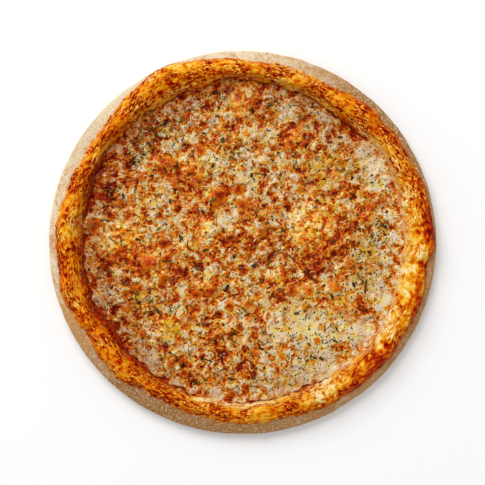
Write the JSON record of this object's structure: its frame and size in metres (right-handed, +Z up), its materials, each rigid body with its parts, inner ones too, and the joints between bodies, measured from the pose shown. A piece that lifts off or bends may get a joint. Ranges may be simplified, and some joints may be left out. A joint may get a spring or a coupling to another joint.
{
  "type": "margherita pizza",
  "caption": "Whole uncut round pizza: dough base with an uneven raised rim, tomato sauce in its bed, browned melted cheese and dried oregano on top.",
  "frame": {"origin": "middle of the flat underside, on the surface that the pizza lies on", "axes": "+Z up out of the cheese; +X to the right and +Y to the far side, as seen from above"},
  "size_m": [0.3, 0.2972, 0.0232],
  "materials": {
    "baked_dough": "golden baked dough, browned on the roll, pale and floured on the side",
    "tomato_sauce": "moist baked tomato sauce",
    "melted_cheese": "melted cheese, cream to orange with browned spots, slightly oily",
    "dried_oregano": "dry crumbled leaf"
  },
  "bodies": {
    "root": {"crust": "baked_dough", "tomato_sauce": "tomato_sauce", "cheese": "melted_cheese"}
  },
  "joints": []
}
